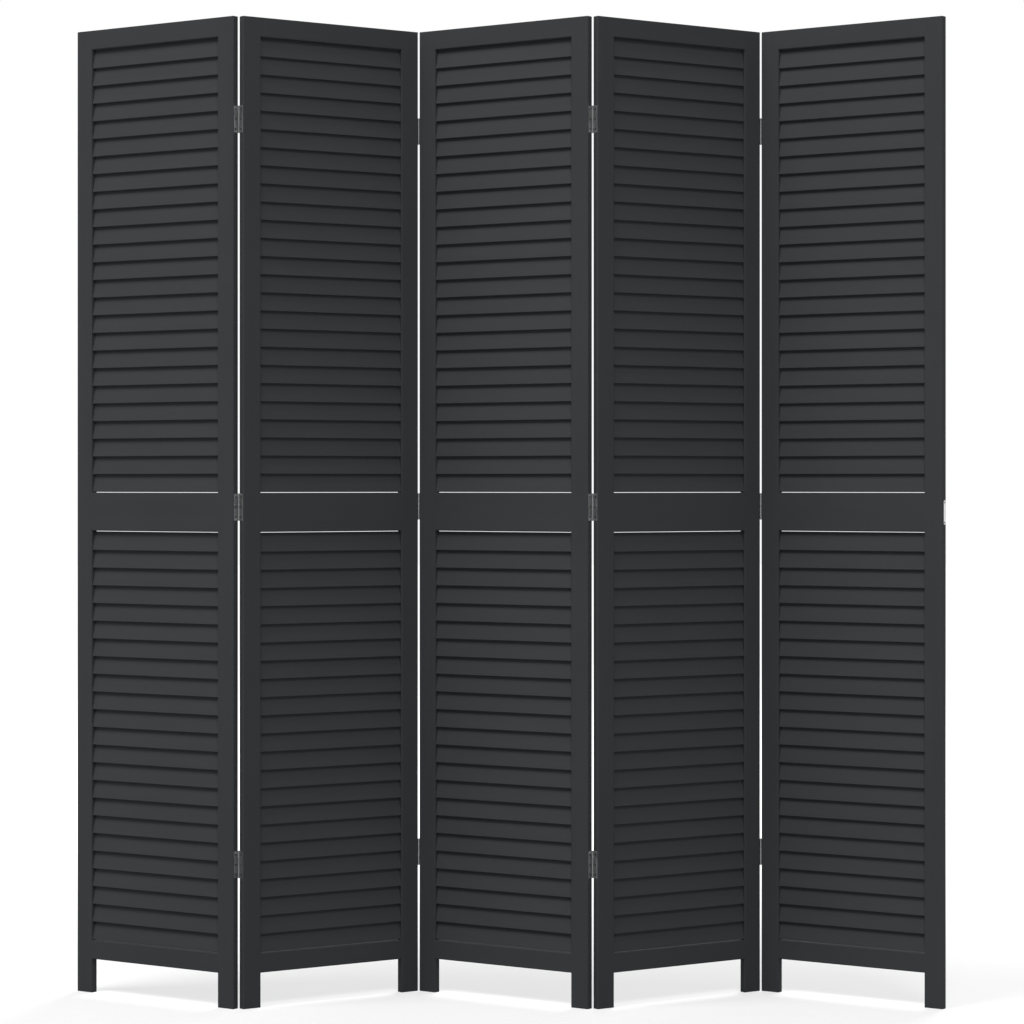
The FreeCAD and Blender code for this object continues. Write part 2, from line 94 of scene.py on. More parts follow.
class ScreenWood(bpy.types.PropertyGroup):
    """Edges of the painted boards, and the slats."""

    arris_round: bpy.props.FloatProperty(
        name="Arris rounding", description="Rounding of the long arrises of stiles and rails",
        default=0.002, unit="LENGTH")
    end_ease: bpy.props.FloatProperty(
        name="End easing", description="Rounding of the panel's top and of its feet", default=0.0007,
        unit="LENGTH")
    slat_thickness: bpy.props.FloatProperty(
        name="Slat thickness", description="Thickness of a slat", default=0.0034, unit="LENGTH")
    slat_round: bpy.props.FloatProperty(
        name="Slat rounding", description="Rounding of a slat's long arrises", default=0.0006,
        unit="LENGTH")
    slat_air_gap: bpy.props.FloatProperty(
        name="Slat air gap", description="Air between the faces of neighbouring slats", default=0.00234,
        unit="LENGTH", precision=5)
    slat_overlap: bpy.props.FloatProperty(
        name="Slat overlap", description="Height by which a slat covers its neighbour", default=0.002,
        unit="LENGTH")
    upper_slats: bpy.props.IntProperty(
        name="Upper slats", description="Slats above the middle rail", default=25)
    lower_slats: bpy.props.IntProperty(
        name="Lower slats", description="Slats below the middle rail", default=23)


class ScreenHinge(bpy.types.PropertyGroup):
    """A butt hinge, its screws, and the plate on the free edge."""

    levels: bpy.props.FloatVectorProperty(
        name="Levels", description="Floor to the middle of each hinge", default=(0.241, 0.839, 1.488),
        unit="LENGTH")
    height: bpy.props.FloatProperty(
        name="Height", description="Hinge leaf, top to bottom", default=0.045, unit="LENGTH")
    leaf_thickness: bpy.props.FloatProperty(
        name="Leaf thickness", description="Sheet of a hinge leaf", default=0.0008, unit="LENGTH")
    leaf_half_gap: bpy.props.FloatProperty(
        name="Half gap", description="Leaf to the plane through the hinge axis", default=0.0003,
        unit="LENGTH")
    leaf_edge_cover: bpy.props.FloatProperty(
        name="Edge cover", description="Wood between a leaf and the far face of the panel",
        default=0.0016, unit="LENGTH")
    leaf_clearance: bpy.props.FloatProperty(
        name="Leaf play", description="Play round a leaf in its recess", default=0.0002, unit="LENGTH")
    sheet_ease: bpy.props.FloatProperty(
        name="Sheet easing", description="Rounding of the edges of sheet metal", default=0.0001,
        unit="LENGTH")
    knuckle_radius: bpy.props.FloatProperty(
        name="Knuckle radius", description="Outside of a hinge barrel", default=0.0015, unit="LENGTH")
    knuckle_room: bpy.props.FloatProperty(
        name="Knuckle room", description="Air round a turning knuckle", default=0.0004, unit="LENGTH")
    knuckle_count: bpy.props.IntProperty(
        name="Knuckles", description="Knuckles in a hinge barrel", default=5)
    knuckle_gap: bpy.props.FloatProperty(
        name="Knuckle gap", description="Play between neighbouring knuckles", default=0.0003,
        unit="LENGTH")
    pin_radius: bpy.props.FloatProperty(
        name="Pin radius", description="Hinge pin", default=0.00075, unit="LENGTH")
    pin_play: bpy.props.FloatProperty(
        name="Pin play", description="Running fit of a pin in a knuckle", default=0.00005, unit="LENGTH")
    pin_head_radius: bpy.props.FloatProperty(
        name="Pin head radius", description="Button at each end of a pin", default=0.0012, unit="LENGTH")
    pin_head_height: bpy.props.FloatProperty(
        name="Pin head height", description="Thickness of that button", default=0.0006, unit="LENGTH")
    screw_radius: bpy.props.FloatProperty(
        name="Screw radius", description="Screw shank", default=0.00085, unit="LENGTH")
    screw_length: bpy.props.FloatProperty(
        name="Screw length", description="Screw from its head's face to its tip", default=0.013,
        unit="LENGTH")
    screw_head_radius: bpy.props.FloatProperty(
        name="Screw head radius", description="Countersunk head at its face", default=0.0017,
        unit="LENGTH")
    screw_play: bpy.props.FloatProperty(
        name="Screw play", description="Play round a screw in its hole", default=0.00005, unit="LENGTH")
    screw_edge: bpy.props.FloatProperty(
        name="Screw edge", description="Screw to the nearest end of a hinge leaf", default=0.0058,
        unit="LENGTH")
    driver_width: bpy.props.FloatProperty(
        name="Cross width", description="Arm of the cross in a screw head", default=0.0005, unit="LENGTH")
    driver_depth: bpy.props.FloatProperty(
        name="Cross depth", description="Depth of that cross", default=0.0004, unit="LENGTH")
    plate_clearance: bpy.props.FloatProperty(
        name="Plate play", description="Play round the free edge plate in its recess", default=0.0002,
        unit="LENGTH")
    plate_screw_edge: bpy.props.FloatProperty(
        name="Plate screw edge", description="Screw to the nearest end of the plate", default=0.0038,
        unit="LENGTH")


class ScreenFinish(bpy.types.PropertyGroup):
    """Colours of the paint and of the metal."""

    frame_paint: bpy.props.FloatVectorProperty(
        name="Frame paint", description="Paint on stiles and rails", default=(0.0444, 0.0473, 0.0504),
        subtype="COLOR", min=0, max=1)
    # The slats' paint is the frame paint made a little lighter: painted light for the slats' faces, which
    # tilt up towards the light from above
    slat_paint: bpy.props.FloatVectorProperty(
        name="Slat paint", description="Paint on slats", default=(0.0461, 0.0491, 0.0522),
        subtype="COLOR", min=0, max=1)
    hinge: bpy.props.FloatVectorProperty(
        name="Hinge", description="Dull plated steel of the hinges", default=(0.245, 0.248, 0.25),
        subtype="COLOR", min=0, max=1)
    plate: bpy.props.FloatVectorProperty(
        name="Plate", description="Bright plated steel of the free edge plate", default=(0.62, 0.62, 0.615),
        subtype="COLOR", min=0, max=1)
    screw: bpy.props.FloatVectorProperty(
        name="Screw", description="Dark steel of screws", default=(0.025, 0.025, 0.026), subtype="COLOR",
        min=0, max=1)


class ScreenStage(bpy.types.PropertyGroup):
    """Camera, lamps and floor."""

    camera_place: bpy.props.FloatVectorProperty(
        name="Camera", description="Where the camera stands", default=(0.0005, -5.5442, 0.8762),
        subtype="TRANSLATION", unit="LENGTH", precision=4)
    lens: bpy.props.FloatProperty(
        name="Lens", description="Focal length in millimetres", default=114.47)
    shift: bpy.props.FloatVectorProperty(
        name="Shift", description="How far the picture's middle lies from the lens axis, in picture widths",
        size=2, default=(0.00729, -0.0265), precision=5)
    key_power: bpy.props.FloatProperty(
        name="Key lamp", description="Wide high lamp on the left, in watts", default=410)
    fill_power: bpy.props.FloatProperty(
        name="Fill lamp", description="High lamp in front, in watts", default=233)
    right_power: bpy.props.FloatProperty(
        name="Right lamp", description="Low lamp on the right, in watts", default=38)
    left_power: bpy.props.FloatProperty(
        name="Left lamp", description="Low lamp on the left, in watts", default=28)
    back_power: bpy.props.FloatProperty(
        name="Back lamp", description="Wide high lamp behind the screen, in watts", default=480)
    sky: bpy.props.FloatProperty(
        name="Sky", description="Even light from all round", default=0.23)
    floor_colour: bpy.props.FloatVectorProperty(
        name="Floor", description="Pale floor", default=(0.5, 0.5, 0.5), subtype="COLOR", min=0, max=1)
    floor_lift: bpy.props.FloatProperty(
        name="Floor lift", description="Light that the camera sees on the floor beside the lamps' own",
        default=0.47)
    floor_white: bpy.props.FloatVectorProperty(
        name="Floor white", description="How far away the floor starts to pale, and is as white as the sky",
        size=2, default=(1.0, 3.0), unit="LENGTH")


PROPERTY_GROUPS = {
    "screen_wood": ScreenWood,
    "screen_hinge": ScreenHinge,
    "screen_finish": ScreenFinish,
    "screen_stage": ScreenStage,
}


# Modelling by hand

# The share of an edge or a normal that lies along an axis when it counts as running along it
ALONG = 0.9
# How nearly a round end is a half circle
ALMOST = 0.999
# How far the grain pattern jumps from one board to the next, and to the other upright of a panel
BOARD_SHIFT = 0.73
RIGHT_STILE_SHIFT = 0.41


def clear_selection():
    bpy.ops.object.select_all(action="DESELECT")


def make_active(piece):
    clear_selection()
    piece.select_set(True)
    bpy.context.view_layer.objects.active = piece


def add_block(name, low, high):
    """A box between two corners, ready to be shaped."""
    clear_selection()
    low, high = Vector(low), Vector(high)
    bpy.ops.mesh.primitive_cube_add(size=1, location=(low + high) / 2)
    block = bpy.context.object
    block.name = name
    block.scale = high - low
    bpy.ops.object.transform_apply()
    return block


def add_rod(name, radius, low, high, sides=24):
    """An upright round bar about the Z axis."""
    clear_selection()
    bpy.ops.mesh.primitive_cylinder_add(
        vertices=sides, radius=radius, depth=high - low, location=(0, 0, (low + high) / 2))
    rod = bpy.context.object
    rod.name = name
    bpy.ops.object.transform_apply()
    return rod


def bevel_where(piece, wanted, offset, segments):
    """Round the edges for which wanted(middle, direction) holds."""
    make_active(piece)
    bpy.ops.object.mode_set(mode="EDIT")
    bpy.ops.mesh.select_mode(type="EDGE")
    bpy.ops.mesh.select_all(action="DESELECT")
    mesh = bmesh.from_edit_mesh(piece.data)
    for edge in mesh.edges:
        start, end = (corner.co for corner in edge.verts)
        edge.select_set(wanted((start + end) / 2, (end - start).normalized()))
    bmesh.update_edit_mesh(piece.data)
    bpy.ops.mesh.bevel(offset=offset, segments=segments, affect="EDGES")
    bpy.ops.object.mode_set(mode="OBJECT")


def apply_modifier(piece, kind, **settings):
    make_active(piece)
    modifier = piece.modifiers.new(kind.lower(), kind)
    for name, value in settings.items():
        setattr(modifier, name, value)
    bpy.ops.object.modifier_apply(modifier=modifier.name)


def combine(piece, other, operation):
    """Join another shape to a piece, or cut it out, and throw the other shape away."""
    apply_modifier(piece, "BOOLEAN", object=other, operation=operation, solver="EXACT")
    if not piece.data.polygons:
        raise RuntimeError(f"{piece.name} was lost when {other.name} was combined with it")
    bpy.data.objects.remove(other)


def copy_to(source, name, places):
    """One new piece made of a copy of a shape at each place, all with their own mesh."""
    clear_selection()
    copies = []
    for place in places:
        twin = bpy.data.objects.new(name, source.data.copy())
        bpy.context.scene.collection.objects.link(twin)
        twin.data.transform(place)
        twin.select_set(True)
        copies.append(twin)
    bpy.context.view_layer.objects.active = copies[0]
    if len(copies) > 1:
        bpy.ops.object.join()
    return copies[0]


def smooth(piece, angle=math.radians(40)):
    """Shade round edges smoothly and keep the flat faces flat."""
    make_active(piece)
    bpy.ops.object.shade_smooth_by_angle(angle=angle)
    apply_modifier(piece, "WEIGHTED_NORMAL", keep_sharp=True, weight=100)


def mark_grain(piece, fibre_axis, shift, members=1):
    """Store where each point lies in its board, fibre direction first, so that no two boards match."""
    other_axes = [axis for axis in range(3) if axis != fibre_axis]
    points = piece.data.vertices
    per_member = len(points) // members
    values = []
    for index, point in enumerate(points):
        board = index // per_member
        along = point.co[fibre_axis] + shift + board * BOARD_SHIFT
        values.extend((along, point.co[other_axes[0]] + shift, point.co[other_axes[1]]))
    grain = piece.data.attributes.new("grain", "FLOAT_VECTOR", "POINT")
    grain.data.foreach_set("vector", values)


def dress(piece, material, body, node):
    """Finish a piece: its material, the body that it rides on and the node that it stands for."""
    piece.data.materials.clear()
    piece.data.materials.append(material)
    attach(piece, body)
    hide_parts(node)


# Materials: roughness and shine of the paint, and strength and depth of the grain and of drawn lines

PAINT_ROUGHNESS = 0.56
PAINT_SHINE = 0.02
GRAIN_RELIEF = {"Strength": 0.25, "Distance": 0.00012}
DRAWN_RELIEF = {"Strength": 0.15, "Distance": 0.00003}

# Bright edges of steel: their width, how broken they are, their gain and their share in the colour
EDGE = {"Width": 0.0003, "Broken": 0.3}
EDGE_GAIN = 1.35
EDGE_SHARE = 0.5

# Each steel: its colour among the finishes, its roughness and the strength of its drawn lines
STEELS = {
    "hinge_steel": ("hinge", 0.36, 1.0),
    "pin_steel": ("hinge", 0.3, 0.4),
    "screw_steel": ("screw", 0.4, 0.3),
    "plate_steel": ("plate", 0.33, 1.0),
}
MATERIALS = {}


def add_node(tree, kind, inputs=None, **settings):
    """A shader node with its settings, and with its inputs linked or set."""
    made = tree.nodes.new("ShaderNode" + kind)
    for name, value in settings.items():
        setattr(made, name, value)
    for name, value in (inputs or {}).items():
        if isinstance(value, bpy.types.NodeSocket):
            tree.links.new(value, made.inputs[name])
        else:
            made.inputs[name].default_value = value
    return made


def math_node(tree, operation, first, second=0.0):
    return add_node(tree, "Math", {0: first, 1: second}, operation=operation).outputs[0]


def map_range(tree, value, low, high, to_low, to_high):
    inputs = {"Value": value, "From Min": low, "From Max": high, "To Min": to_low, "To Max": to_high}
    return add_node(tree, "MapRange", inputs).outputs["Result"]


def noise(tree, place, stretch, detail, roughness=0.5):
    """Noise over a stretched place; the stretch is features per metre along each axis."""
    mapped = add_node(tree, "Mapping", {"Vector": place, "Scale": stretch}).outputs["Vector"]
    inputs = {"Vector": mapped, "Scale": 1.0, "Detail": detail, "Roughness": roughness}
    return add_node(tree, "TexNoise", inputs).outputs["Fac"]


def new_group(name, inputs, outputs):
    """An empty shader node group with float sockets, and its two end nodes."""
    group = bpy.data.node_groups.new(name, "ShaderNodeTree")
    for label, default in inputs.items():
        socket = group.interface.new_socket(label, in_out="INPUT", socket_type="NodeSocketFloat")
        socket.default_value = default
    for label in outputs:
        group.interface.new_socket(label, in_out="OUTPUT", socket_type="NodeSocketFloat")
    return group, group.nodes.new("NodeGroupInput"), group.nodes.new("NodeGroupOutput")


def wood_grain_group():
    """Wood fibre under a coat of paint: how the tone, the height and the gloss change over a board."""
    group, given, result = new_group(
        "painted wood grain", {"Fibre": 1.0, "Orange Peel": 1.0}, ("Tone", "Height", "Gloss"))
    place = add_node(group, "Attribute", attribute_name="grain").outputs["Vector"]
    bands = noise(group, place, (2.2, 70, 70), 3)
    fibres = noise(group, place, (9, 640, 640), 4, 0.6)
    pores = noise(group, place, (60, 2300, 2300), 2)
    peel = noise(group, place, (900, 900, 900), 2)
    clouds = noise(group, place, (5, 11, 11), 3)
    strands = math_node(group, "ADD", math_node(group, "MULTIPLY", bands, 0.5),
                        math_node(group, "MULTIPLY", fibres, 0.5))
    raised = math_node(group, "ADD", strands, math_node(group, "MULTIPLY", pores, 0.35))
    wooden = math_node(group, "MULTIPLY", raised, given.outputs["Fibre"])
    skin = math_node(group, "MULTIPLY", peel, given.outputs["Orange Peel"])
    height = math_node(group, "ADD", wooden, math_node(group, "MULTIPLY", skin, 0.25))
    shade = math_node(group, "ADD", math_node(group, "MULTIPLY", clouds, 0.5),
                      math_node(group, "MULTIPLY", strands, 0.5))
    group.links.new(map_range(group, shade, 0.3, 0.7, 0.93, 1.07), result.inputs["Tone"])
    group.links.new(height, result.inputs["Height"])
    group.links.new(map_range(group, clouds, 0.3, 0.7, -0.05, 0.05), result.inputs["Gloss"])
    return group


def lighter_edge_group():
    """A mask that is 1 along sharp outer edges, broken into patches, and 0 on flats; the steel is made
    lighter where it is 1.
    """
    group, given, result = new_group("thin coat on edges", {"Width": 0.001, "Broken": 0.5}, ("Edge",))
    soft = add_node(group, "Bevel", {"Radius": given.outputs["Width"]}, samples=6).outputs["Normal"]
    flat = add_node(group, "NewGeometry").outputs["Normal"]
    facing = add_node(group, "VectorMath", {0: soft, 1: flat}, operation="DOT_PRODUCT").outputs["Value"]
    edge = map_range(group, facing, 0.99, 0.86, 0.0, 1.0)
    place = add_node(group, "TexCoord").outputs["Object"]
    patches = map_range(group, noise(group, place, (90, 90, 90), 3), 0.35, 0.65, 0.0, 1.0)
    kept = math_node(group, "SUBTRACT", 1.0, math_node(group, "MULTIPLY", patches, given.outputs["Broken"]))
    group.links.new(math_node(group, "MULTIPLY", edge, kept), result.inputs["Edge"])
    return group


def brushed_group():
    """Fine drawn lines and faint smears on plated sheet metal."""
    group, given, result = new_group("drawn sheet metal", {"Lines": 1.0}, ("Tone", "Height", "Gloss"))
    place = add_node(group, "TexCoord").outputs["Object"]
    lines = noise(group, place, (5200, 5200, 130), 2)
    smears = noise(group, place, (150, 150, 90), 3)
    drawn = math_node(group, "MULTIPLY", lines, given.outputs["Lines"])
    group.links.new(map_range(group, smears, 0.3, 0.7, 0.86, 1.08), result.inputs["Tone"])
    group.links.new(drawn, result.inputs["Height"])
    group.links.new(map_range(group, smears, 0.3, 0.7, -0.07, 0.09), result.inputs["Gloss"])
    return group


def new_material(name):
    """A material with a bare Principled shader, its tree and that shader."""
    material = bpy.data.materials.new(name)
    material.use_nodes = True
    return material, material.node_tree, material.node_tree.nodes["Principled BSDF"]


def place_group(tree, group, **values):
    node = tree.nodes.new("ShaderNodeGroup")
    node.node_tree = group
    for name, value in values.items():
        node.inputs[name.replace("_", " ")].default_value = value
    return node.outputs


def mix_colour(tree, share, first, second, blend="MIX"):
    mixed = add_node(tree, "Mix", {"Factor": share}, data_type="RGBA", blend_type=blend)
    colour_sockets = [socket for socket in mixed.inputs if socket.type == "RGBA"]
    for socket, value in zip(colour_sockets, (first, second)):
        if isinstance(value, bpy.types.NodeSocket):
            tree.links.new(value, socket)
        else:
            socket.default_value = value
    return [socket for socket in mixed.outputs if socket.type == "RGBA"][0]


def paint(name, colour, groups, fibre):
    """Matte charcoal paint on wood whose grain shows through a little."""
    material, tree, shader = new_material(name)
    grain = place_group(tree, groups["grain"], Fibre=fibre, Orange_Peel=1.0)
    tone = add_node(tree, "CombineColor", {0: grain["Tone"], 1: grain["Tone"], 2: grain["Tone"]})
    toned = mix_colour(tree, 1.0, (*colour, 1), tone.outputs[0], "MULTIPLY")
    tree.links.new(toned, shader.inputs["Base Color"])
    rough = math_node(tree, "ADD", grain["Gloss"], PAINT_ROUGHNESS)
    tree.links.new(rough, shader.inputs["Roughness"])
    bump = add_node(tree, "Bump", {"Height": grain["Height"], **GRAIN_RELIEF})
    tree.links.new(bump.outputs["Normal"], shader.inputs["Normal"])
    shader.inputs["Specular IOR Level"].default_value = PAINT_SHINE
    return material


def steel(name, colour, groups, roughness, lines):
    """Plated steel with fine drawn lines and brighter edges."""
    material, tree, shader = new_material(name)
    drawn = place_group(tree, groups["drawn"], Lines=lines)
    edge = place_group(tree, groups["edge"], **EDGE)["Edge"]
    tone = add_node(tree, "CombineColor", {0: drawn["Tone"], 1: drawn["Tone"], 2: drawn["Tone"]})
    toned = mix_colour(tree, 1.0, (*colour, 1), tone.outputs[0], "MULTIPLY")
    bright = [min(1.0, channel * EDGE_GAIN) for channel in colour]
    share = math_node(tree, "MULTIPLY", edge, EDGE_SHARE)
    tree.links.new(mix_colour(tree, share, toned, (*bright, 1)), shader.inputs["Base Color"])
    tree.links.new(math_node(tree, "ADD", drawn["Gloss"], roughness), shader.inputs["Roughness"])
    bump = add_node(tree, "Bump", {"Height": drawn["Height"], **DRAWN_RELIEF})
    tree.links.new(bump.outputs["Normal"], shader.inputs["Normal"])
    shader.inputs["Metallic"].default_value = 1.0
    return material


class FOLDING_OT_finishes(bpy.types.Operator):
    """Mix the paints and the metals"""

    bl_idname = "folding_screen.finishes"
    bl_label = "Finishes"

    def execute(self, context):
        finish = context.scene.screen_finish
        groups = {"grain": wood_grain_group(), "edge": lighter_edge_group(), "drawn": brushed_group()}
        MATERIALS["frame_paint"] = paint("frame_paint", finish.frame_paint, groups, 1.0)
        # The slats get the lighter copy of the paint, which is painted light for their upturned faces
        MATERIALS["slat_paint"] = paint("slat_paint", finish.slat_paint, groups, 0.8)
        for name, (colour, roughness, lines) in STEELS.items():
            MATERIALS[name] = steel(name, getattr(finish, colour), groups, roughness, lines)
        return {"FINISHED"}


# Where hinges sit on a panel

def hinge_side(line):
    """The side that a hinge line has its knuckles on; line 1 lies between panels 1 and 2."""
    return "back" if line % 2 else "front"


def hinge_places(end, side, levels):
    """The three hinges of one end of a panel, in the panel's own frame."""
    across = HINGE_AXIS.x if end == "right" else -HINGE_AXIS.x
    deep = HINGE_AXIS.y if side == "back" else -HINGE_AXIS.y
    return [Matrix.Translation((across, deep, level)) @ HINGE_TURNS[end, side] for level in levels]


def leaf_reach(hinge):
    """Hinge axis to the far end of a leaf, across the panel's edge."""
    return HALF_THICKNESS + HINGE_AXIS.y - hinge.leaf_edge_cover


def round_ended_sheet(name, play=0.0, rise=0.0):
    """The free edge plate's outline, widened by some play and raised above the panel's edge."""
    round_play = Vector((0, play, play))
    sheet = add_block(name, PLATE_LOW - round_play, PLATE_HIGH + round_play + Vector((rise, 0, 0)))
    half_width = (PLATE_HIGH.y - PLATE_LOW.y) / 2 + play
    bevel_where(sheet, lambda at, way: abs(way.x) > ALONG, half_width * ALMOST, 8)
    return sheet


# The boards

class FOLDING_OT_stiles(bpy.types.Operator):
    """Model the uprights, let the hinges into them and stand them in their panels"""

    bl_idname = "folding_screen.stiles"
    bl_label = "Stiles"

    def blank(self, wood):
        """A left upright with its edges eased."""
        stile = add_block("stile_blank", STILE_LOW, STILE_HIGH)
        bevel_where(stile, lambda at, way: abs(way.z) > ALONG, wood.arris_round, 5)
        bevel_where(stile, lambda at, way: abs(way.z) < 1 - ALONG, wood.end_ease, 2)
        return stile

    def let_in_hinges(self, stile, end, side, hinge):
        """Cut the leaves' recesses and the knuckles' room."""
        seat = hinge.leaf_half_gap + hinge.leaf_thickness
        play = hinge.leaf_clearance
        tall = hinge.height / 2 + play
        recess = add_block("recess", (-seat, -leaf_reach(hinge) - play, -tall), (0, 0, tall))
        room = add_rod("room", hinge.knuckle_radius + hinge.knuckle_room,
                       -tall - hinge.pin_head_height, tall + hinge.pin_head_height)
        for cutter in (recess, room):
            places = hinge_places(end, side, hinge.levels)
            combine(stile, copy_to(cutter, "cutter", places), "DIFFERENCE")
            bpy.data.objects.remove(cutter)

    def let_in_plate(self, stile, hinge):
        combine(stile, round_ended_sheet("cutter", hinge.plate_clearance, hinge.screw_radius), "DIFFERENCE")

    def execute(self, context):
        wood, hinge = context.scene.screen_wood, context.scene.screen_hinge
        blank = self.blank(wood)
        turned = {"left": Matrix.Identity(4), "right": Matrix.Rotation(math.pi, 4, "Z")}
        for panel in PANELS:
            sides = {"left": panel > PANELS[0] and hinge_side(panel - 1),
                     "right": panel < PANELS[-1] and hinge_side(panel)}
            for end, side in sides.items():
                stile = copy_to(blank, f"painted_{end}_stile_{panel}", [turned[end]])
                if side:
                    self.let_in_hinges(stile, end, side, hinge)
                elif end == "right":
                    self.let_in_plate(stile, hinge)
                smooth(stile)
                mark_grain(stile, 2, panel + (RIGHT_STILE_SHIFT if end == "right" else 0))
                stile.data.transform(panel_place(panel))
                dress(stile, MATERIALS["frame_paint"], f"panel_{panel}",
                      f"panel_{panel}_{end}_stile")
        bpy.data.objects.remove(blank)
        return {"FINISHED"}


class FOLDING_OT_rails(bpy.types.Operator):
    """Model the three rails of each panel, which run on past the round arrises of the uprights"""

    bl_idname = "folding_screen.rails"
    bl_label = "Rails"

    def execute(self, context):
        wood = context.scene.screen_wood
        for number, rail in enumerate(RAILS):
            low, high = local_box(f"panel_{MIDDLE_PANEL}_{rail}")
            reach = INNER_FACE + wood.arris_round
            master = add_block(rail, (-reach, low.y, low.z), (reach, high.y, high.z))
            under_top = STILE_HIGH.z - wood.arris_round
            bevel_where(master, lambda at, way: abs(way.x) > ALONG and at.z < under_top,
                        wood.arris_round, 5)
            bevel_where(master, lambda at, way: abs(way.x) > ALONG and at.z > under_top,
                        wood.end_ease, 2)
            for panel in PANELS:
                board = copy_to(master, f"painted_{rail}_{panel}", [Matrix.Identity(4)])
                smooth(board)
                mark_grain(board, 0, panel + number * BOARD_SHIFT)
                board.data.transform(panel_place(panel))
                dress(board, MATERIALS["frame_paint"], f"panel_{panel}",
                      f"panel_{panel}_{rail}")
            bpy.data.objects.remove(master)
        return {"FINISHED"}


class FOLDING_OT_slats(bpy.types.Operator):
    """Model the banks of leaning slats"""

    bl_idname = "folding_screen.slats"
    bl_label = "Slats"

    def bank(self, name, count, wood):
        """A bank of slats between its rails, each with its lower edge at the front."""
        low, high = local_box(f"panel_{MIDDLE_PANEL}_{name}_slats")
        pitch = (high.z - low.z - wood.slat_overlap) / count
        tilt = math.asin((wood.slat_thickness + wood.slat_air_gap) / pitch)
        rise = pitch + wood.slat_overlap - 2 * wood.slat_round
        core = wood.slat_thickness - 2 * wood.slat_round
        flat = (rise - core * math.sin(tilt)) / math.cos(tilt)
        half = Vector((high.x, wood.slat_thickness / 2, flat / 2 + wood.slat_round))
        slats = add_block(name + "_slats", -half, half)
        bevel_where(slats, lambda at, way: abs(way.x) > ALONG, wood.slat_round, 4)
        slats.rotation_euler.x = -tilt
        slats.location.z = low.z + (pitch + wood.slat_overlap) / 2
        make_active(slats)
        bpy.ops.object.transform_apply()
        apply_modifier(slats, "ARRAY", count=count, use_relative_offset=False, use_constant_offset=True,
                       constant_offset_displace=(0, 0, pitch))
        return slats

    def execute(self, context):
        wood = context.scene.screen_wood
        for name, count in (("upper", wood.upper_slats), ("lower", wood.lower_slats)):
            master = self.bank(name, count, wood)
            for panel in PANELS:
                bank = copy_to(master, f"painted_{name}_slats_{panel}", [Matrix.Identity(4)])
                smooth(bank)
                mark_grain(bank, 0, panel + BANKS.index(name) * BOARD_SHIFT, count)
                bank.data.transform(panel_place(panel))
                dress(bank, MATERIALS["slat_paint"], f"panel_{panel}",
                      f"panel_{panel}_{name}_slats")
            bpy.data.objects.remove(master)
        return {"FINISHED"}


# The metal

def screw_shape(hinge, play=0.0, overrun=0.0):
    """A countersunk shape along -X with its face at the origin; play and overrun make its hole."""
    deep = hinge.screw_head_radius - hinge.screw_radius
    head, shank = hinge.screw_head_radius + play, hinge.screw_radius + play
    screw = add_rod("screw", head, -deep, overrun, 20)
    make_active(screw)
    bpy.ops.object.mode_set(mode="EDIT")
    bpy.ops.mesh.select_mode(type="FACE")
    bpy.ops.mesh.select_all(action="DESELECT")
    mesh = bmesh.from_edit_mesh(screw.data)
    for face in mesh.faces:
        face.select_set(face.normal.z < -ALONG)
    bmesh.update_edit_mesh(screw.data)
    bpy.ops.transform.resize(value=(shank / head, shank / head, 1))
    bpy.ops.mesh.extrude_region_move(
        TRANSFORM_OT_translate={"value": (0, 0, deep - hinge.screw_length - play)})
    bpy.ops.object.mode_set(mode="OBJECT")
    screw.data.transform(Matrix.Rotation(math.radians(90), 4, "Y"))
    return screw


def leaf_screw_places(hinge):
    """Where the three screws of a leaf lie, about the hinge's own axis."""
    root = hinge.knuckle_radius + hinge.knuckle_room
    line = -(leaf_reach(hinge) + root) / 2
    spacing = hinge.height / 2 - hinge.screw_edge
    return [Matrix.Translation((-hinge.leaf_half_gap, line, level)) for level in (-spacing, 0, spacing)]


def plate_screw_places(hinge):
    middle = (PLATE_LOW + PLATE_HIGH) / 2
    levels = (PLATE_LOW.z + hinge.plate_screw_edge, PLATE_HIGH.z - hinge.plate_screw_edge)
    return [Matrix.Translation((PLATE_HIGH.x, middle.y, level)) for level in levels]


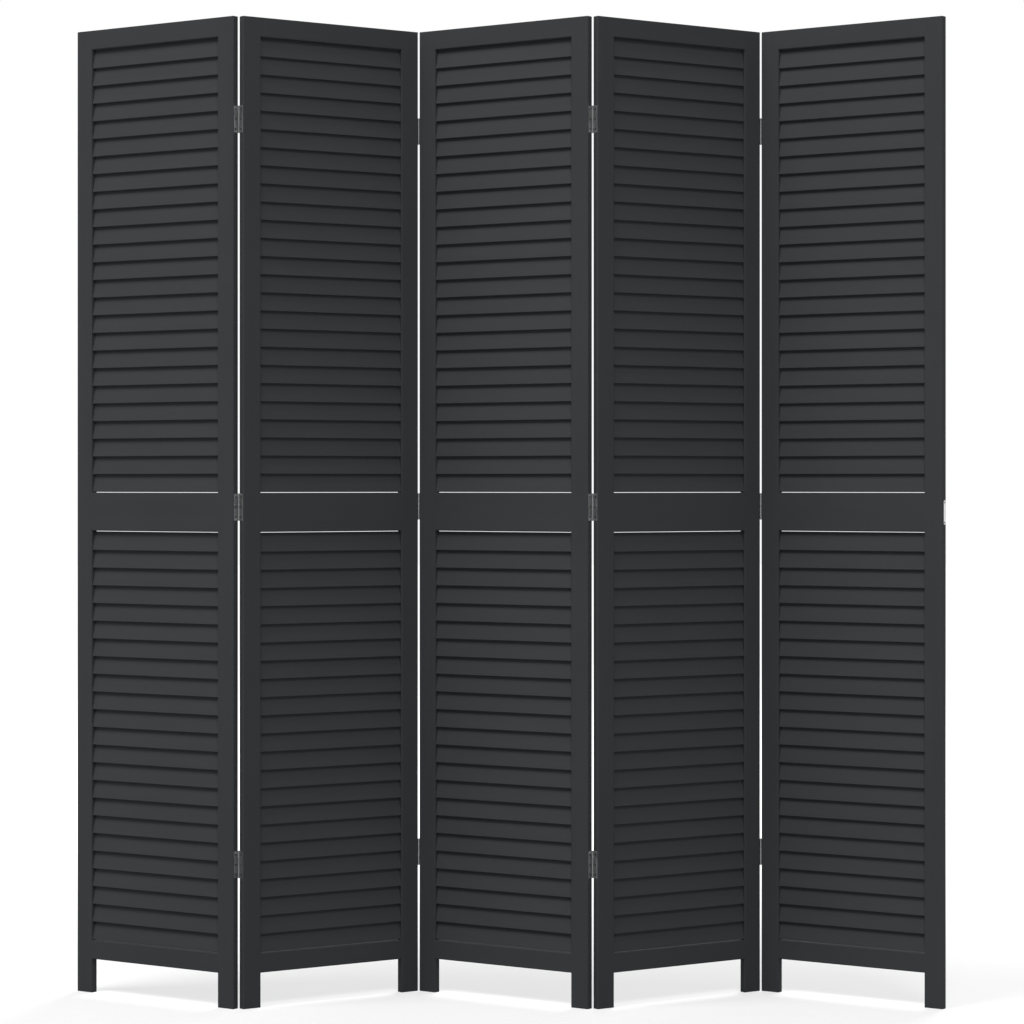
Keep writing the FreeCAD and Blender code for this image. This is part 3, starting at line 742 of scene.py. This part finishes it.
class FOLDING_OT_hinge_leaves(bpy.types.Operator):
    """Model the two leaves of a hinge and fix them to the uprights"""

    bl_idname = "folding_screen.hinge_leaves"
    bl_label = "Hinge leaves"

    def leaf(self, first_knuckle, hinge):
        """A leaf with every second knuckle; its upright lies towards -X, the panel's far face towards -Y."""
        seat = hinge.leaf_half_gap + hinge.leaf_thickness
        root = hinge.knuckle_radius + hinge.knuckle_room
        half = hinge.height / 2
        leaf = add_block("leaf", (-seat, -leaf_reach(hinge), -half), (-hinge.leaf_half_gap, -root, half))
        gaps = (hinge.knuckle_count - 1) * hinge.knuckle_gap
        length = (hinge.height - gaps) / hinge.knuckle_count
        for number in range(first_knuckle, hinge.knuckle_count, 2):
            base = number * (length + hinge.knuckle_gap) - half
            tab = add_block("tab", (-seat, -root - hinge.leaf_thickness, base),
                            (-hinge.leaf_half_gap, 0, base + length))
            combine(leaf, tab, "UNION")
            combine(leaf, add_rod("knuckle", hinge.knuckle_radius, base, base + length, 32), "UNION")
        bore = add_rod("bore", hinge.pin_radius + hinge.pin_play, -hinge.height, hinge.height, 16)
        combine(leaf, bore, "DIFFERENCE")
        hole = screw_shape(hinge, hinge.screw_play, hinge.leaf_half_gap)
        combine(leaf, copy_to(hole, "holes", leaf_screw_places(hinge)), "DIFFERENCE")
        bpy.data.objects.remove(hole)
        apply_modifier(leaf, "BEVEL", width=hinge.sheet_ease, segments=1, limit_method="ANGLE",
                       angle_limit=math.radians(50))
        return leaf

    def execute(self, context):
        hinge = context.scene.screen_hinge
        for end, first_knuckle in (("right", 0), ("left", 1)):
            master = self.leaf(first_knuckle, hinge)
            half = "left" if end == "right" else "right"
            for line in PANELS[:-1]:
                panel = line if end == "right" else line + 1
                places = hinge_places(end, hinge_side(line), hinge.levels)
                leaves = copy_to(master, f"steel_{half}_leaves_{line}", places)
                smooth(leaves)
                leaves.data.transform(panel_place(panel))
                dress(leaves, MATERIALS["hinge_steel"], f"panel_{panel}",
                      f"hinge_{line}_{line + 1}_{half}_leaves")
            bpy.data.objects.remove(master)
        return {"FINISHED"}


class FOLDING_OT_pins(bpy.types.Operator):
    """Model the hinge pins with a domed button at each end"""

    bl_idname = "folding_screen.pins"
    bl_label = "Hinge pins"

    def execute(self, context):
        hinge = context.scene.screen_hinge
        half, head = hinge.height / 2, hinge.pin_head_height
        master = add_rod("pin", hinge.pin_radius, -half - head / 2, half + head / 2, 16)
        for low, high in ((-half - head, -half), (half, half + head)):
            button = add_rod("button", hinge.pin_head_radius, low, high, 20)
            outer = high if high > half else low
            bevel_where(button, lambda at, way: abs(at.z - outer) < head / 4, head * 0.6, 3)
            combine(master, button, "UNION")
        for line in PANELS[:-1]:
            places = hinge_places("right", hinge_side(line), hinge.levels)
            pins = copy_to(master, f"steel_pins_{line}", places)
            smooth(pins)
            pins.data.transform(panel_place(line))
            dress(pins, MATERIALS["pin_steel"], f"panel_{line}",
                  f"hinge_{line}_{line + 1}_pins")
        bpy.data.objects.remove(master)
        return {"FINISHED"}


class FOLDING_OT_screws(bpy.types.Operator):
    """Model one cross head screw and drive it into every leaf and into the plate"""

    bl_idname = "folding_screen.screws"
    bl_label = "Screws"

    def screw(self, hinge):
        screw = screw_shape(hinge)
        arm, wide, deep = hinge.screw_radius, hinge.driver_width / 2, hinge.driver_depth
        upright = add_block("arm", (-deep, -wide, -arm), (deep, wide, arm))
        level = add_block("arm", (-deep, -arm, -wide), (deep, arm, wide))
        combine(screw, upright, "DIFFERENCE")
        combine(screw, level, "DIFFERENCE")
        return screw

    def execute(self, context):
        hinge = context.scene.screen_hinge
        master = self.screw(hinge)
        for end, half in (("right", "left"), ("left", "right")):
            for line in PANELS[:-1]:
                panel = line if end == "right" else line + 1
                sets = hinge_places(end, hinge_side(line), hinge.levels)
                places = [place @ inner for place in sets for inner in leaf_screw_places(hinge)]
                self.drive(master, f"{half}_screws_{line}", places, panel,
                           f"hinge_{line}_{line + 1}_{half}_screws")
        self.drive(master, "plate_screws", plate_screw_places(hinge), PANELS[-1], "edge_plate_screws")
        bpy.data.objects.remove(master)
        return {"FINISHED"}

    def drive(self, master, name, places, panel, node):
        screws = copy_to(master, name, places)
        smooth(screws)
        screws.data.transform(panel_place(panel))
        dress(screws, MATERIALS["screw_steel"], f"panel_{panel}", node)


class FOLDING_OT_edge_plate(bpy.types.Operator):
    """Model the small bright plate on the free edge of the last panel"""

    bl_idname = "folding_screen.edge_plate"
    bl_label = "Edge plate"

    def execute(self, context):
        hinge = context.scene.screen_hinge
        plate = round_ended_sheet("steel_edge_plate")
        hole = screw_shape(hinge, hinge.screw_play, hinge.leaf_half_gap)
        combine(plate, copy_to(hole, "holes", plate_screw_places(hinge)), "DIFFERENCE")
        bpy.data.objects.remove(hole)
        apply_modifier(plate, "BEVEL", width=hinge.sheet_ease, segments=2, limit_method="ANGLE",
                       angle_limit=math.radians(50))
        smooth(plate)
        plate.data.transform(panel_place(PANELS[-1]))
        dress(plate, MATERIALS["plate_steel"], f"panel_{PANELS[-1]}", "edge_plate")
        return {"FINISHED"}


# The stage: each lamp's bearing from straight ahead and its climb, in degrees, and its width
LAMPS = {
    "key": (-54, 57, 4.4),
    "fill": (9, 47, 3.2),
    "right": (60, 10, 2.6),
    "left": (-75, 20, 2.6),
    "back": (160, 45, 4.4),
}
LAMP_DISTANCE = 8.0
FLOOR_SIZE = 60
SENSOR_WIDTH = 36


def seen_directly(tree):
    """1 for rays that show the background: from the camera, or off metal and glass."""
    path = add_node(tree, "LightPath").outputs
    glossy = math_node(tree, "MAXIMUM", path["Is Glossy Ray"], path["Is Transmission Ray"])
    return math_node(tree, "MAXIMUM", path["Is Camera Ray"], glossy)


class FOLDING_OT_stage(bpy.types.Operator):
    """Set up the pale floor, the lamps and the camera"""

    bl_idname = "folding_screen.stage"
    bl_label = "Stage"

    def floor(self, stage):
        clear_selection()
        bpy.ops.mesh.primitive_plane_add(size=FLOOR_SIZE, location=(0, 0, 0))
        floor = bpy.context.object
        floor.name = "floor"
        material = bpy.data.materials.new("pale_floor")
        material.use_nodes = True
        tree = material.node_tree
        tree.nodes.clear()
        matte = add_node(tree, "BsdfDiffuse", {"Color": (*stage.floor_colour, 1)})
        place = add_node(tree, "TexCoord").outputs["Object"]
        away = add_node(tree, "VectorMath", {0: place}, operation="LENGTH").outputs["Value"]
        lift = map_range(tree, away, *stage.floor_white, stage.floor_lift, 1.0)
        seen = math_node(tree, "MULTIPLY", seen_directly(tree), lift)
        glow = add_node(tree, "Emission", {"Strength": seen})
        both = add_node(tree, "AddShader", {0: matte.outputs[0], 1: glow.outputs[0]})
        add_node(tree, "OutputMaterial", {"Surface": both.outputs[0]})
        floor.data.materials.append(material)

    def sky(self, stage, scene):
        world = bpy.data.worlds.new("studio")
        world.use_nodes = True
        tree = world.node_tree
        tree.nodes.clear()
        light = add_node(tree, "Background", {"Strength": stage.sky})
        white = add_node(tree, "Background", {"Strength": 1.0})
        for sky in (light, white):
            sky.inputs["Color"].default_value = (1, 1, 1, 1)
        shares = {0: seen_directly(tree), 1: light.outputs[0], 2: white.outputs[0]}
        mixed = add_node(tree, "MixShader", shares)
        add_node(tree, "OutputWorld", {"Surface": mixed.outputs[0]})
        scene.world = world

    def lamp(self, name, power):
        """A round soft lamp that faces the middle of the screen."""
        bearing, climb, size = LAMPS[name]
        round_screen = Matrix.Rotation(math.radians(bearing), 4, "Z")
        down = Matrix.Rotation(math.radians(90 - climb), 4, "X")
        middle = Matrix.Translation((0, 0, STILE_HIGH.z / 2))
        clear_selection()
        bpy.ops.object.light_add(type="AREA")
        lamp = bpy.context.object
        lamp.name = name + "_lamp"
        lamp.data.shape = "DISK"
        lamp.data.size = size
        lamp.data.energy = power
        lamp.matrix_world = middle @ round_screen @ down @ Matrix.Translation((0, 0, LAMP_DISTANCE))

    def camera(self, stage, scene):
        clear_selection()
        bpy.ops.object.camera_add(location=stage.camera_place, rotation=(math.radians(90), 0, 0))
        camera = bpy.context.object
        camera.data.lens = stage.lens
        camera.data.sensor_width = SENSOR_WIDTH
        camera.data.shift_x, camera.data.shift_y = stage.shift
        scene.camera = camera

    def execute(self, context):
        scene, stage = context.scene, context.scene.screen_stage
        self.floor(stage)
        self.sky(stage, scene)
        for name in LAMPS:
            self.lamp(name, getattr(stage, name + "_power"))
        self.camera(stage, scene)
        scene.view_settings.view_transform = "Standard"
        return {"FINISHED"}


class FOLDING_PT_steps(bpy.types.Panel):
    """Lists the steps in the sidebar"""

    bl_idname = "FOLDING_PT_steps"
    bl_label = "Folding screen"
    bl_space_type = "VIEW_3D"
    bl_region_type = "UI"
    bl_category = "Folding screen"

    def draw(self, context):
        for step in STEPS:
            self.layout.operator(step.bl_idname)


STEPS = (
    FOLDING_OT_finishes,
    FOLDING_OT_stiles,
    FOLDING_OT_rails,
    FOLDING_OT_slats,
    FOLDING_OT_hinge_leaves,
    FOLDING_OT_pins,
    FOLDING_OT_screws,
    FOLDING_OT_edge_plate,
    FOLDING_OT_stage,
)
CLASSES = (*PROPERTY_GROUPS.values(), *STEPS, FOLDING_PT_steps)


def register():
    for item in CLASSES:
        bpy.utils.register_class(item)
    for name, group in PROPERTY_GROUPS.items():
        setattr(bpy.types.Scene, name, bpy.props.PointerProperty(type=group))


def unregister():
    for name in PROPERTY_GROUPS:
        delattr(bpy.types.Scene, name)
    for item in reversed(CLASSES):
        bpy.utils.unregister_class(item)


def main():
    register()
    bpy.ops.folding_screen.finishes()
    bpy.ops.folding_screen.stiles()
    bpy.ops.folding_screen.rails()
    bpy.ops.folding_screen.slats()
    bpy.ops.folding_screen.hinge_leaves()
    bpy.ops.folding_screen.pins()
    bpy.ops.folding_screen.screws()
    bpy.ops.folding_screen.edge_plate()
    bpy.ops.folding_screen.stage()


if __name__ == "__main__":
    main()
